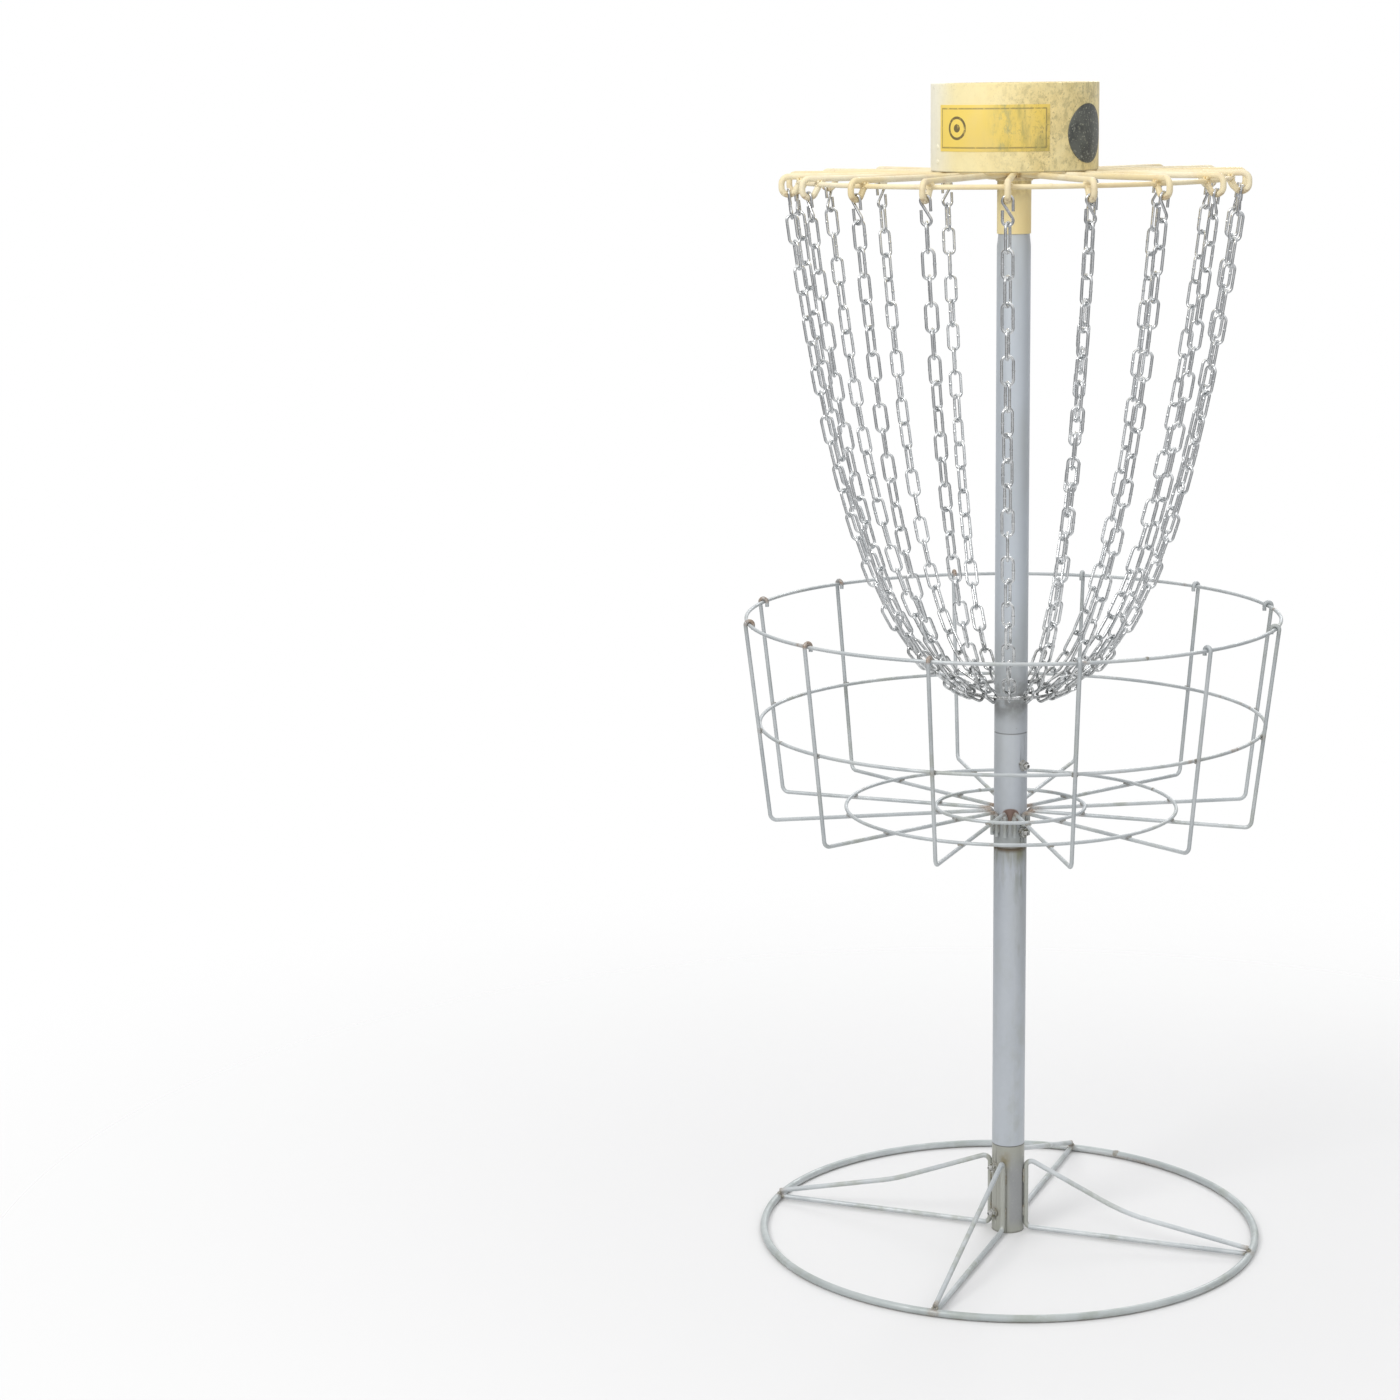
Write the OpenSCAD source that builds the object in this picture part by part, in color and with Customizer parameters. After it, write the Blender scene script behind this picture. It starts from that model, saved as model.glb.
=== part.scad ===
// Portable disc golf basket: a welded wire basket and a ring of hanging chains
// on a knock-down tube post with a round wire foot.
// Millimetres, +Z up. The origin is on the ground on the post's axis, and the
// front faces -Y. Azimuths count from the front, positive towards +X.

/* [Post and sleeves] */
// Outside diameter of the tube of the poles and sleeves
tube_d = 42.2; // [38:0.1:45]
// Wall of the tube
tube_wall = 1.6; // [1.2:0.1:2]
// Radial play between a swaged tube end and its sleeve
slip_gap = 0.08; // [0.02:0.01:0.1]
// Open seam where a pole's shoulder meets a sleeve
seam = 0.4; // [0.3:0.1:1]
// Top of the base sleeve
base_sleeve_top = 119; // [110:1:140]
// Bottom of the basket's hub sleeve
hub_bottom = 519; // [480:1:560]
// Length of the basket's hub sleeve
hub_len = 150; // [140:1:180]
// Height of the upper pole's top shoulder
pole_shoulder = 1283.5; // [1275:0.5:1288]
// Length of the taper above that shoulder
taper_len = 15; // [8:1:16]

/* [Foot] */
// Radius of the foot ring, to the middle of its rod
foot_r = 321; // [280:1:360]
// Foot ring rod diameter
foot_rod = 9.5; // [8:0.5:12]
// Leg rod diameter
leg_rod = 6.4; // [5:0.1:7]
// Azimuth of the front leg
leg_az = -16; // [-30:1:0]
// How far the upper strut of the front, right, back and left leg is bent down
strut_dip = [0, 21, 0, 12];

/* [Basket] */
// Radius of the rim ring
rim_r = 336.4; // [320:0.1:345]
// Height of the rim ring
rim_z = 819; // [780:1:860]
// Radius of the side ring
side_r = 320.2; // [305:0.1:330]
// Height of the side ring
side_z = 683; // [660:1:720]
// Height of the floor, at the middle of the ribs
floor_z = 566.5; // [560:0.5:580]
// Radius of the outer floor ring
floor_outer_r = 210.5; // [180:0.5:240]
// Radius of the inner floor ring
floor_inner_r = 95; // [80:1:120]
// Basket ring rod diameter
ring_rod = 4.5; // [4:0.1:6]
// Rib rod diameter
rib_rod = 5; // [4:0.1:6]
// Number of ribs
rib_count = 12; // [8:1:14]
// Azimuth of the first rib
rib_az = 13.5; // [0:0.5:29.5]

/* [Top] */
// Number of arms, each with one chain
arm_count = 18; // [12:1:18]
// Azimuth of the first arm
arm_az = -1.5; // [-10:0.5:10]
// Height of the arms
arm_z = 1372; // [1365:0.5:1380]
// Arm rod diameter
arm_rod = 7.5; // [6:0.5:8]
// Radius at the outside of an arm's eye, to the middle of the rod
arm_r = 288; // [280:1:300]
// Radius of the hoop under the arms
hoop_r = 266; // [262:1:267]
// Hoop rod diameter
hoop_rod = 6; // [5:0.5:6.5]
// Outside diameter of the number band
band_d = 206; // [190:1:230]
// Height of the number band
band_h = 106; // [90:1:120]
// Wall of the number band
band_wall = 4.5; // [3:0.5:6]

/* [Chains] */
// Links in one chain
link_count = 21; // [19:2:21]
// Outside length of a link
link_len = 39.2; // [38.8:0.1:39.6]
// Outside width of a link
link_w = 17.5; // [16:0.5:18]
// Link wire diameter
link_wire = 3.7; // [3.4:0.1:3.8]
// S-hook wire diameter
hook_wire = 3.6; // [3.2:0.1:3.8]
// Sag constant of the hanging curve
sag = 91.4; // [88:0.1:95]
// Radius at which the hanging curve would be level
sag_r = 26.9; // [24:0.1:31]
// Most that a link is turned from the neat quarter-turn pattern, in degrees
link_turn = 42; // [0:1:45]
// Collector ring rod diameter
collector_rod = 5; // [4:0.5:5]

/* [Hidden] */
arm_names = [for (k = [1:arm_count]) str(k < 10 ? "0" : "", k)];

ROD_FN = 32;
TUBE_FN = 96;
RING_FN = 192;
galvanised = "#9aa5b1";
zinc = "#b9c2c8";
cream = "#efdc9f";
steel = "#8b8f92";

bend_lap = 0.4;
bend_swell = 0.06;

// Post
tube_r = tube_d / 2;
bore_r = tube_r - tube_wall;
swage_r = bore_r - slip_gap;
base_plug = 105;
hub_top = hub_bottom + hub_len;
hub_plug_low = 70;
hub_plug_high = 68;
sleeve_bottom = pole_shoulder + taper_len;
top_plug = 52;
plate_t = 3;
plate_r = 33;
sleeve_top = arm_z - arm_rod / 2 - plate_t;

// Headless set bolts, with the nuts that are welded over the holes in a sleeve
bolt_r = 3.12;
bolt_end = 31;
bolt_tip_gap = 0.35;
thread_gap = 0.08;
socket_flats = 3.2;
socket_depth = 3.5;
nut_flats = 11.1;
nut_t = 5.6;
base_bolt_az = -56;
base_bolt_zs = [26, 87];
hub_bolt_az = 47;
hub_bolt_zs = [540.5, 626.5];

// Legs: each is one rod, from the foot ring up to the sleeve, down it and back
leg_x = tube_r + leg_rod / 2;
leg_bend = 8;
leg_top = 100.5;
leg_low = 5;
leg_end_r = foot_r - foot_rod / 2 - 0.2;
leg_end_low = [leg_end_r, 5.2];
leg_end_high = [foot_r - 2, foot_rod + leg_rod / 2];
knee_at = 0.55;
knee_bend = 240;

// Basket: the ribs run outside the rings and lean out along them
wire_offset = (ring_rod + rib_rod) / 2 + 0.05;
lean = atan2(rim_r - side_r, rim_z - side_z);
corner_bend = 9;
corner_r = side_r + wire_offset / cos(lean) - (side_z - floor_z) * tan(lean);
rib_tail = 32;
rib_tail_by_nut = 18;
rib_inner_r = tube_r + rib_rod / 2;
rib_inner_bend = 7;
rib_tip = 6;
floor_ring_z = floor_z + wire_offset;

// Arms: the outer end turns down and back up to the hoop as a closed eye
eye_bend = 9;
eye_drop = 22;
eye_leg = 60;
arm_inner_r = 24;
hang_r = arm_r - eye_bend;
hang_z = arm_z - eye_drop;
hoop_z = arm_z - (arm_rod + hoop_rod) / 2;
eye_back = [hang_r - eye_bend * sin(eye_leg), hang_z + eye_bend * (1 - cos(eye_leg))];
eye_leg_len = ([hoop_r, hoop_z] - eye_back) * [-cos(eye_leg), sin(eye_leg)] - hoop_rod / 2 - 0.05;
band_r = band_d / 2;
band_z = arm_z + arm_rod / 2 + 0.25;
label_z = [25, 80.5];
label_az = [-60, 24];
label_t = 0.6;
disc_r = 35.5;
disc_az = 58.5;
disc_t = 1.2;
disc_rise = 45;
bracket_az = [for (k = [0:2]) arm_az + 60 + 120 * k];
bracket_w = 16;
bracket_r = sqrt(pow(band_r - band_wall, 2) - pow(bracket_w / 2, 2)) - 0.05;

// S-hook: two eyes of one wire joined by a slanting shank, each with a straight free end
hook_eye = arm_rod / 2 + hook_wire / 2 + 0.55;
hook_span = 22.75;
hook_tail = 12;

// Chain: the links hang on a catenary from the arm's eye to the collector ring
function sinh(x) = (exp(x) - exp(-x)) / 2;
function cosh(x) = (exp(x) + exp(-x)) / 2;
function asinh(x) = ln(x + sqrt(x * x + 1));
link_gap = 0.25;
pitch = link_len - 2 * link_wire - link_gap;
link_bow = (link_w - link_wire) / 2;
hang_u = (hang_r - sag_r) / sag;
hang_s = sag * sinh(hang_u);
level_z = hang_z - sag * (cosh(hang_u) - 1);
// Point of the hanging curve at arc length s from its level point, as [r, z]
function curve(s) = [sag_r + sag * asinh(s / sag), level_z + sqrt(sag * sag + s * s) - sag];
hook_reach = hook_span + hook_eye - hook_wire / 2 - link_gap - (pitch - link_len) / 2 - link_wire;
function joint(i) = curve(hang_s - hook_reach - pitch * i);
function middle(p, q) = (p + q) / 2;
function slope(p, q) = atan2(q[1] - p[1], q[0] - p[0]);
last_mid = middle(joint(link_count - 1), joint(link_count));
last_slope = slope(joint(link_count - 1), joint(link_count));
collector_inset = link_len / 2 - link_wire - collector_rod / 2 - 0.4;
collector_r = last_mid[0] + collector_inset * cos(last_slope);
collector_z = last_mid[1] + collector_inset * sin(last_slope);
function link_twist(k, i) =
    90 + 90 * i + link_turn * sin(150 * i / (link_count - 1) + 30) * sin(137 * k + 24 * i + 70);

// Turns a shape drawn on the XZ plane to an azimuth
module at_az(az) rotate([0, 0, az - 90]) children();

// Heading from one [r, z] point to the next, clockwise from straight up
function heading(p, q) = atan2(q[0] - p[0], q[1] - p[1]);
function wrap(a) = a > 180 ? a - 360 : a < -180 ? a + 360 : a;
function corner_turn(pts, i) = wrap(heading(pts[i], pts[i + 1]) - heading(pts[i - 1], pts[i]));
function corner_cut(pts, radii, i) =
    i == 0 || i == len(pts) - 1 ? 0 : radii[i - 1] * tan(abs(corner_turn(pts, i)) / 2);

// Steps [straight length, turn, bend radius] of a rod through the corners of a polyline,
// ending in a curl of its own angle and radius
function rod_steps(pts, radii, curl) =
    [for (i = [1:len(pts) - 1])
        [norm(pts[i] - pts[i - 1]) - corner_cut(pts, radii, i - 1) - corner_cut(pts, radii, i),
         i < len(pts) - 1 ? corner_turn(pts, i) : curl[0],
         i < len(pts) - 1 ? radii[i - 1] : curl[1]]];

// Bent rod that starts upwards from the origin: each step is a straight and then a bend.
// A bend is a hair thicker than the straights, which run a little way into it.
module rod_run(steps, d, i = 0) {
    straight = steps[i][0];
    turn = abs(steps[i][1]);
    radius = steps[i][2];
    side = steps[i][1] < 0 ? 1 : 0;
    lap_in = i > 0 ? bend_lap : 0;
    lap_out = turn > 0 ? bend_lap : 0;
    if (straight > 0)
        translate([0, 0, -lap_in])
            cylinder(d = d, h = straight + lap_in + lap_out, $fn = ROD_FN);
    if (turn > 0)
        mirror([side, 0, 0])
            translate([radius, 0, straight]) {
                rotate([90, 0, 180])
                    rotate_extrude(angle = turn, $fn = RING_FN)
                        translate([radius, 0])
                            circle(d = d + bend_swell, $fn = ROD_FN);
                if (i < len(steps) - 1)
                    rotate([0, turn, 0])
                        translate([-radius, 0, 0])
                            mirror([side, 0, 0])
                                rod_run(steps, d, i + 1);
            }
}

// Bent rod through [r, z] points with a bend radius at each corner; curl is the turn,
// radius and straight tip of a hook at its end
module bent_rod(pts, radii, d, curl = [0, 0, 0])
    translate([pts[0][0], 0, pts[0][1]])
        rotate([0, heading(pts[0], pts[1]), 0])
            rod_run(concat(rod_steps(pts, radii, curl), curl[0] == 0 ? [] : [[curl[2], 0, 0]]), d);

module hoop(radius, z, d)
    translate([0, 0, z])
        rotate_extrude($fn = RING_FN)
            translate([radius, 0])
                circle(d = d, $fn = ROD_FN);

module tube(z0, z1, r_out, r_in)
    translate([0, 0, z0])
        difference() {
            cylinder(r = r_out, h = z1 - z0, $fn = TUBE_FN);
            translate([0, 0, -1])
                cylinder(r = r_in, h = z1 - z0 + 2, $fn = TUBE_FN);
        }

// Lays a shape along a radius, pointing outwards, at a height
module outwards(az, z)
    at_az(az) translate([0, 0, z]) rotate([0, 90, 0]) children();

module hexagon(flats, t) cylinder(d = flats / cos(30), h = t, $fn = 6);

module set_nuts(az, zs)
    for (z = zs)
        outwards(az, z)
            translate([0, 0, tube_r + 0.02])
                difference() {
                    hexagon(nut_flats, nut_t);
                    translate([0, 0, -1])
                        cylinder(r = bolt_r + thread_gap, h = nut_t + 2, $fn = ROD_FN);
                }

module set_bolts(az, zs) {
    tip = swage_r + bolt_tip_gap;
    for (z = zs)
        outwards(az, z)
            difference() {
                translate([0, 0, tip]) cylinder(r = bolt_r, h = bolt_end - tip, $fn = ROD_FN);
                translate([0, 0, bolt_end - socket_depth]) hexagon(socket_flats, socket_depth + 1);
            }
}

module sleeve(z0, z1, az, zs)
    difference() {
        tube(z0, z1, tube_r, bore_r);
        for (z = zs)
            outwards(az, z) cylinder(r = bolt_r + thread_gap, h = tube_r + 2, $fn = ROD_FN);
    }

module base_ring() color(galvanised) hoop(foot_r, foot_rod / 2, foot_rod);

// One leg, as one bent rod: upper strut with its dip, run down the sleeve, lower strut
module leg(dip) {
    top = [leg_x, leg_top];
    knee = leg_end_high + knee_at * (top - leg_end_high) - [0, dip];
    upper = dip > 0 ? [leg_end_high, knee] : [leg_end_high];
    bends = dip > 0 ? [knee_bend, leg_bend, leg_bend] : [leg_bend, leg_bend];
    bent_rod(concat(upper, [top, [leg_x, leg_low], leg_end_low]), bends, leg_rod);
}

module base_legs()
    color(galvanised)
        for (k = [0:3])
            at_az(leg_az + 90 * k) leg(strut_dip[k]);

module base_sleeve() color(steel) sleeve(0, base_sleeve_top, base_bolt_az, base_bolt_zs);
module base_set_nuts() color(steel) set_nuts(base_bolt_az, base_bolt_zs);
module base_set_bolts() color(zinc) set_bolts(base_bolt_az, base_bolt_zs);

// A pole has a full tube between narrowed ends that slip into the sleeves
module pole(z0, z1, plug_low, plug_high, taper)
    difference() {
        union() {
            translate([0, 0, z0 - plug_low])
                cylinder(r = swage_r, h = z1 - z0 + plug_low + plug_high + taper, $fn = TUBE_FN);
            translate([0, 0, z0]) cylinder(r = tube_r, h = z1 - z0, $fn = TUBE_FN);
            if (taper > 0)
                translate([0, 0, z1]) cylinder(r1 = tube_r, r2 = swage_r, h = taper, $fn = TUBE_FN);
        }
        translate([0, 0, z0 - plug_low - 1])
            cylinder(r = swage_r - tube_wall, h = z1 - z0 + plug_low + plug_high + taper + 2,
                     $fn = TUBE_FN);
    }

module lower_pole()
    color(galvanised)
        pole(base_sleeve_top + seam, hub_bottom - seam, base_plug, hub_plug_low, 0);

module upper_pole()
    color(galvanised)
        pole(hub_top + seam, pole_shoulder, hub_plug_high, top_plug, taper_len);

module hub_sleeve() color(galvanised) sleeve(hub_bottom, hub_top, hub_bolt_az, hub_bolt_zs);
module hub_set_nuts() color(steel) set_nuts(hub_bolt_az, hub_bolt_zs);
module hub_set_bolts() color(zinc) set_bolts(hub_bolt_az, hub_bolt_zs);

// One rib: tail on the hub, floor, corner and leaning side, then the hook over the rim
module rib(tail)
    bent_rod([[rib_inner_r, floor_z - tail], [rib_inner_r, floor_z], [corner_r, floor_z],
              [rim_r, rim_z] + wire_offset * [cos(lean), -sin(lean)]],
             [rib_inner_bend, corner_bend], rib_rod, [-180 - lean, wire_offset, rib_tip]);

// A rib over the hub's lower nut has a shorter tail
module basket_ribs()
    color(galvanised)
        for (k = [0:rib_count - 1]) {
            az = rib_az + 360 / rib_count * k;
            at_az(az) rib(abs(wrap(az - hub_bolt_az)) < 24 ? rib_tail_by_nut : rib_tail);
        }

module rim_ring() color(galvanised) hoop(rim_r, rim_z, ring_rod);
module side_ring() color(galvanised) hoop(side_r, side_z, ring_rod);
module outer_floor_ring() color(galvanised) hoop(floor_outer_r, floor_ring_z, ring_rod);
module inner_floor_ring() color(galvanised) hoop(floor_inner_r, floor_ring_z, ring_rod);

module top_sleeve() color(cream) tube(sleeve_bottom, sleeve_top, tube_r, bore_r);
module top_plate()
    color(cream)
        translate([0, 0, sleeve_top])
            cylinder(r = plate_r, h = plate_t, $fn = TUBE_FN);

// One arm; its end turns down, round and back up to the hoop
module arm()
    translate([arm_inner_r, 0, arm_z])
        rotate([0, 90, 0])
            rod_run([[hang_r - arm_inner_r, 90, eye_bend],
                     [eye_drop - 2 * eye_bend, 90 + eye_leg, eye_bend],
                     [eye_leg_len, 0, 0]], arm_rod);

module chain_arms()
    color(cream)
        for (k = [0:arm_count - 1])
            at_az(arm_az + 360 / arm_count * k) arm();

module chain_hoop() color(cream) hoop(hoop_r, hoop_z, hoop_rod);

module number_band() color(cream) tube(band_z, band_z + band_h, band_r, band_r - band_wall);

// An angle on an arm inside the band
module band_brackets()
    color(cream)
        for (az = bracket_az)
            at_az(az) {
                translate([bracket_r - 3, -bracket_w / 2, band_z]) cube([3, bracket_w, 40]);
                translate([bracket_r - 28, -bracket_w / 2, band_z]) cube([28, bracket_w, 3]);
            }

// Stretch of a thin shell round the band, between two azimuths
module band_arc(az0, az1, z0, z1, t)
    rotate([0, 0, az0 - 90])
        translate([0, 0, z0])
            rotate_extrude(angle = az1 - az0, $fn = RING_FN)
                translate([band_r + 0.02, 0])
                    square([t, z1 - z0]);

module band_label()
    color("#e3c14f")
        band_arc(label_az[0], label_az[1], band_z + label_z[0], band_z + label_z[1], label_t);

module number_disc()
    color("#3a3d40")
        intersection() {
            band_arc(disc_az - 30, disc_az + 30, band_z + 5, band_z + band_h - 5, disc_t);
            outwards(disc_az, band_z + disc_rise) cylinder(r = disc_r, h = band_r + 10, $fn = TUBE_FN);
        }

module collector_ring() color(zinc) hoop(collector_r, collector_z, collector_rod);

// One link, long way on X, flat on the XY plane
module link() {
    straight = link_len - link_w;
    for (side = [-1, 1]) {
        translate([-straight / 2, side * link_bow, 0])
            rotate([0, 90, 0])
                cylinder(d = link_wire, h = straight, $fn = ROD_FN);
        translate([side * straight / 2, 0, 0])
            rotate([0, 0, -90 * side])
                rotate_extrude(angle = 180, $fn = TUBE_FN)
                    translate([link_bow, 0])
                        circle(d = link_wire, $fn = ROD_FN);
    }
}

module chain(k)
    color(zinc)
        at_az(arm_az + 360 / arm_count * k)
            for (i = [0:link_count - 1]) {
                p = joint(i);
                q = joint(i + 1);
                m = middle(p, q);
                translate([m[0], 0, m[1]])
                    rotate([0, -slope(p, q), 0])
                        rotate([link_twist(k, i), 0, 0])
                            link();
            }

// An eye round the arm's eye, a slanting shank, and an eye for the chain's top link
module s_hook(k) {
    tilt = heading([hang_r, hang_z], joint(0));
    slant = asin(2 * hook_eye / hook_span);
    eye_turn = 180 + slant;
    color(zinc)
        at_az(arm_az + 360 / arm_count * k)
            translate([hang_r, 0, hang_z])
                rotate([0, tilt, 0])
                    rotate([0, 0, 90])
                        translate([hook_eye, 0, hook_tail])
                            rotate([0, 180, 0])
                                rod_run([[hook_tail, eye_turn, hook_eye],
                                         [hook_span * cos(slant), -eye_turn, hook_eye],
                                         [hook_tail, 0, 0]], hook_wire);
}

base_ring();
base_legs();
base_sleeve();
base_set_nuts();
base_set_bolts();
lower_pole();
hub_sleeve();
hub_set_nuts();
hub_set_bolts();
basket_ribs();
rim_ring();
side_ring();
outer_floor_ring();
inner_floor_ring();
upper_pole();
top_sleeve();
top_plate();
chain_arms();
chain_hoop();
number_band();
band_brackets();
band_label();
number_disc();
collector_ring();
for (k = [0:arm_count - 1])
    chain(k);
for (k = [0:arm_count - 1])
    s_hook(k);
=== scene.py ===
"""Looks of the disc golf basket: materials, welds, set bolts, rivets, light and camera.

Metres, +Z up. Azimuths are in degrees from the front (-Y), positive towards +X.
"""

import math
import random

import bpy
import numpy as np
from mathutils import Matrix, Vector


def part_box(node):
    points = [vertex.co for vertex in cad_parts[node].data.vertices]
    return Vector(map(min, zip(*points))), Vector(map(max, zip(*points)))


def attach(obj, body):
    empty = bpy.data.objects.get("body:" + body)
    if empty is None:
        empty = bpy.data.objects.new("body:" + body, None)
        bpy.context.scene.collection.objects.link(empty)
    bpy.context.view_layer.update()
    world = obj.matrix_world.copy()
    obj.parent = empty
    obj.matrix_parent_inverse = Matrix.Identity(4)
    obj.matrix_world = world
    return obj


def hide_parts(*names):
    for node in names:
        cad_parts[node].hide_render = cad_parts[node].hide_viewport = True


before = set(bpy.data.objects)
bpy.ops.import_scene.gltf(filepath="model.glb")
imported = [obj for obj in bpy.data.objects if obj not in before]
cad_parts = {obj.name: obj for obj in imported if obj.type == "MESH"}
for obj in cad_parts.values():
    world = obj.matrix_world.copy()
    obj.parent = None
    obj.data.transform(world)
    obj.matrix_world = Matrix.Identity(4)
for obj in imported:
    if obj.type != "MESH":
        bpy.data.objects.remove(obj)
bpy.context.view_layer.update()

# ---------------------------------------------------------------- places on the CAD model

RIB_COUNT = 12
RIB_FIRST = 13.5
ARM_COUNT = 18
ARM_FIRST = -1.5
LEG_COUNT = 4
LEG_FIRST = -16
BASE_BOLT_AZIMUTH = -56
BASE_NUT_HEIGHTS = (0.026, 0.087)
HUB_BOLT_AZIMUTH = 47
BRACKET_AZIMUTHS = (58.5, 178.5, 298.5)
NUT_FLATS = 0.0111
BORE_R = 0.00320
BOLT_R = 0.00312
SOCKET_FLATS = 0.0032

RIBS = [RIB_FIRST + 360 / RIB_COUNT * k for k in range(RIB_COUNT)]
ARMS = [ARM_FIRST + 360 / ARM_COUNT * k for k in range(ARM_COUNT)]
LEGS = [LEG_FIRST + 360 / LEG_COUNT * k for k in range(LEG_COUNT)]
CHAINS = [f"{k + 1:02d}" for k in range(ARM_COUNT)]


def polar(azimuth, radius, height):
    angle = math.radians(azimuth)
    return Vector((radius * math.sin(angle), -radius * math.cos(angle), height))


class Ring:
    """Radius, height and rod radius of a round rod ring, read from its CAD node."""

    def __init__(self, node):
        low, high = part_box(node)
        self.rod = (high.z - low.z) / 2
        self.radius = max(high.x - low.x, high.y - low.y) / 2 - self.rod
        self.height = (low.z + high.z) / 2


RIM = Ring("rim_ring")
SIDE = Ring("side_ring")
OUTER_FLOOR = Ring("outer_floor_ring")
INNER_FLOOR = Ring("inner_floor_ring")
FOOT = Ring("base_ring")
HOOP = Ring("chain_hoop")
COLLECTOR = Ring("collector_ring")
TUBE_R = (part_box("lower_pole")[1].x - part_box("lower_pole")[0].x) / 2
FOOT_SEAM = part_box("base_sleeve")[1].z
HUB_LOW, HUB_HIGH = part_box("hub_sleeve")[0].z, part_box("hub_sleeve")[1].z
TOP_SEAM, TOP_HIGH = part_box("top_sleeve")[0].z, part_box("top_sleeve")[1].z
BAND_LOW, BAND_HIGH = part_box("number_band")[0].z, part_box("number_band")[1].z
BAND_R = (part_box("number_band")[1].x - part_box("number_band")[0].x) / 2
LABEL_LOW, LABEL_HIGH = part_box("band_label")[0].z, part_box("band_label")[1].z
ARM_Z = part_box("chain_arms")[1].z - 0.00375
LEG_ROD = 0.0032
RIB_ROD = 0.0025
ARM_ROD = 0.00375


# ---------------------------------------------------------------- camera, light and floor

CAMERA_BACK = 3.966
CAMERA_HEIGHT = 1.503
CAMERA_PITCH = 11.295
CAMERA_YAW = 5.735
CAMERA_ROLL = 0.763
CAMERA_LENS = 81.22


def make_camera():
    pitch, yaw, roll = (math.radians(a) for a in (CAMERA_PITCH, CAMERA_YAW, CAMERA_ROLL))
    forward = Vector((-math.sin(yaw) * math.cos(pitch), math.cos(yaw) * math.cos(pitch),
                      -math.sin(pitch)))
    right = Vector((math.cos(yaw), math.sin(yaw), 0))
    up = right.cross(forward)
    across = right * math.cos(roll) - up * math.sin(roll)
    upright = right * math.sin(roll) + up * math.cos(roll)
    data = bpy.data.cameras.new("camera")
    data.lens = CAMERA_LENS
    data.clip_end = 60
    camera = bpy.data.objects.new("camera", data)
    turn = Matrix((across, upright, -forward)).transposed().to_4x4()
    camera.matrix_world = Matrix.Translation((0, -CAMERA_BACK, CAMERA_HEIGHT)) @ turn
    bpy.context.scene.collection.objects.link(camera)
    bpy.context.scene.camera = camera


def make_area_light(name, place, target, size, power, tint=(1, 1, 1)):
    data = bpy.data.lights.new(name, "AREA")
    data.shape = "DISK"
    data.size = size
    data.energy = power
    data.color = tint
    light = bpy.data.objects.new(name, data)
    direction = Vector(target) - Vector(place)
    light.matrix_world = (Matrix.Translation(place)
                          @ direction.to_track_quat("-Z", "Y").to_matrix().to_4x4())
    bpy.context.scene.collection.objects.link(light)


def make_studio():
    """White surroundings to the camera; grey and uneven ones for what the metal mirrors."""
    world = bpy.data.worlds.new("studio")
    bpy.context.scene.world = world
    world.use_nodes = True
    nodes, links = world.node_tree.nodes, world.node_tree.links
    nodes.clear()
    output = nodes.new("ShaderNodeOutputWorld")
    mix = nodes.new("ShaderNodeMixShader")
    ray = nodes.new("ShaderNodeLightPath")
    seen = nodes.new("ShaderNodeBackground")
    seen.inputs["Color"].default_value = (1, 1, 1, 1)
    dome = nodes.new("ShaderNodeBackground")
    dome.inputs["Strength"].default_value = 1.04
    place = nodes.new("ShaderNodeTexCoord")
    split = nodes.new("ShaderNodeSeparateXYZ")
    ramp = nodes.new("ShaderNodeValToRGB")
    stops = ((0.0, 0.55), (0.47, 0.60), (0.56, 0.86), (0.75, 1.0), (1.0, 1.12))
    height = nodes.new("ShaderNodeMapRange")
    height.inputs["From Min"].default_value = -1
    links.new(place.outputs["Generated"], split.inputs[0])
    links.new(split.outputs["Z"], height.inputs["Value"])
    links.new(height.outputs["Result"], ramp.inputs["Fac"])
    while len(ramp.color_ramp.elements) < len(stops):
        ramp.color_ramp.elements.new(1.0)
    for element, (position, level) in zip(ramp.color_ramp.elements, stops):
        element.position = position
        element.color = (level, level, level * 1.01, 1)
    sideways = nodes.new("ShaderNodeMath")
    sideways.operation = "ABSOLUTE"
    flanks = nodes.new("ShaderNodeMapRange")
    for socket, value in (("From Min", 0.55), ("From Max", 0.95), ("To Min", 1.0), ("To Max", 0.36)):
        flanks.inputs[socket].default_value = value
    shade = nodes.new("ShaderNodeVectorMath")
    shade.operation = "SCALE"
    links.new(split.outputs["X"], sideways.inputs[0])
    links.new(sideways.outputs[0], flanks.inputs["Value"])
    links.new(ramp.outputs["Color"], shade.inputs[0])
    links.new(flanks.outputs["Result"], shade.inputs["Scale"])
    links.new(shade.outputs[0], dome.inputs["Color"])
    links.new(ray.outputs["Is Camera Ray"], mix.inputs["Fac"])
    links.new(dome.outputs[0], mix.inputs[1])
    links.new(seen.outputs[0], mix.inputs[2])
    links.new(mix.outputs[0], output.inputs["Surface"])
    bpy.context.scene.view_settings.view_transform = "Standard"

    aim = (0, 0, 0.85)
    make_area_light("key", (-2.4, -2.6, 3.3), aim, 1.6, 55, (1.0, 0.99, 0.97))
    make_area_light("fill", (3.2, -1.6, 1.6), aim, 2.2, 5, (0.95, 0.97, 1.0))
    make_area_light("rim", (0.8, 3.4, 2.8), aim, 1.4, 27)


# ---------------------------------------------------------------- materials


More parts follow.
